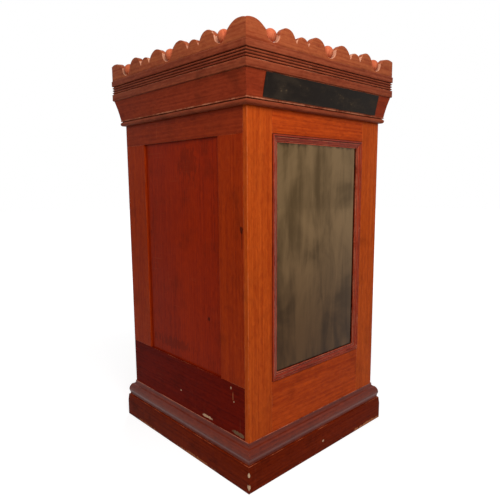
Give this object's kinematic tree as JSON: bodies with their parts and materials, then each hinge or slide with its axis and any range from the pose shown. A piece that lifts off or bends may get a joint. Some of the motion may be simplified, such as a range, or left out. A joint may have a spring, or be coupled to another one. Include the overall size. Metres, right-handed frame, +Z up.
{
  "type": "thread display cabinet",
  "caption": "Counter-top thread cabinet in stained cherry: mirror and sign board in front, panelled flanks, scalloped cresting with balls, partitioned drawers behind.",
  "frame": {"origin": "middle of the footprint, on the surface that the cabinet stands on", "axes": "+Z up; -Y out of the mirror, towards the customer; +Y the way the drawers open; +X to the right of somebody facing the mirror"},
  "size_m": [0.5018, 0.5122, 0.9392],
  "materials": {
    "front_wood": "red stained and varnished, semi-gloss",
    "flank_wood": "red stained and varnished, semi-gloss",
    "plinth_wood": "red stained and varnished, semi-gloss",
    "crown_wood": "red stained and varnished, semi-gloss",
    "ball_wood": "red stained and varnished, semi-gloss",
    "sign": "black paint, satin, worn",
    "mirror": "old silvered glass",
    "drawer_wood": "red stained and varnished, semi-gloss",
    "inner_wood": "bare pine, aged",
    "pin_steel": "dark iron"
  },
  "bodies": {
    "case": {"back_posts": "drawer_wood", "back_rails": "drawer_wood", "base_cap": "plinth_wood", "bead_moulding": "crown_wood", "case_floor": "inner_wood", "case_top": "inner_wood", "cresting_back": "crown_wood", "cresting_balls": "ball_wood", "cresting_front": "crown_wood", "cresting_left": "crown_wood", "cresting_right": "crown_wood", "crown_moulding": "crown_wood", "drawer_dividers": "drawer_wood", "drawer_runners": "inner_wood", "frame_pins": "pin_steel", "frieze_boards": "crown_wood", "front_rail_bottom": "front_wood", "front_rail_top": "front_wood", "front_stile_left": "front_wood", "front_stile_right": "front_wood", "left_panel": "flank_wood", "left_rail_bottom": "flank_wood", "left_rail_top": "flank_wood", "left_stile_back": "flank_wood", "left_stile_front": "flank_wood", "mirror_backboard": "inner_wood", "mirror_glass": "mirror", "mirror_moulding": "front_wood", "plinth_blocks": "inner_wood", "plinth_boards": "plinth_wood", "right_panel": "flank_wood", "right_rail_bottom": "flank_wood", "right_rail_top": "flank_wood", "right_stile_back": "flank_wood", "right_stile_front": "flank_wood", "sign_board": "sign"},
    "drawer_1": {"drawer_1_front": "drawer_wood", "drawer_1_box": "inner_wood", "drawer_1_knob": "ball_wood"},
    "drawer_2": {"drawer_2_front": "drawer_wood", "drawer_2_box": "inner_wood", "drawer_2_knob": "ball_wood"},
    "drawer_3": {"drawer_3_front": "drawer_wood", "drawer_3_box": "inner_wood", "drawer_3_knob": "ball_wood"},
    "drawer_4": {"drawer_4_front": "drawer_wood", "drawer_4_box": "inner_wood", "drawer_4_knob": "ball_wood"},
    "drawer_5": {"drawer_5_front": "drawer_wood", "drawer_5_box": "inner_wood", "drawer_5_knob": "ball_wood"},
    "drawer_6": {"drawer_6_front": "drawer_wood", "drawer_6_box": "inner_wood", "drawer_6_knob": "ball_wood"},
    "drawer_7": {"drawer_7_front": "drawer_wood", "drawer_7_box": "inner_wood", "drawer_7_knob": "ball_wood"}
  },
  "joints": [
    {"name": "drawer_1_slide", "type": "slide", "parent": "case", "child": "drawer_1", "axis": [0, 1, 0], "range_m": [0, 0.33]},
    {"name": "drawer_2_slide", "type": "slide", "parent": "case", "child": "drawer_2", "axis": [0, 1, 0], "range_m": [0, 0.33]},
    {"name": "drawer_3_slide", "type": "slide", "parent": "case", "child": "drawer_3", "axis": [0, 1, 0], "range_m": [0, 0.33]},
    {"name": "drawer_4_slide", "type": "slide", "parent": "case", "child": "drawer_4", "axis": [0, 1, 0], "range_m": [0, 0.33]},
    {"name": "drawer_5_slide", "type": "slide", "parent": "case", "child": "drawer_5", "axis": [0, 1, 0], "range_m": [0, 0.33]},
    {"name": "drawer_6_slide", "type": "slide", "parent": "case", "child": "drawer_6", "axis": [0, 1, 0], "range_m": [0, 0.33]},
    {"name": "drawer_7_slide", "type": "slide", "parent": "case", "child": "drawer_7", "axis": [0, 1, 0], "range_m": [0, 0.33]}
  ]
}
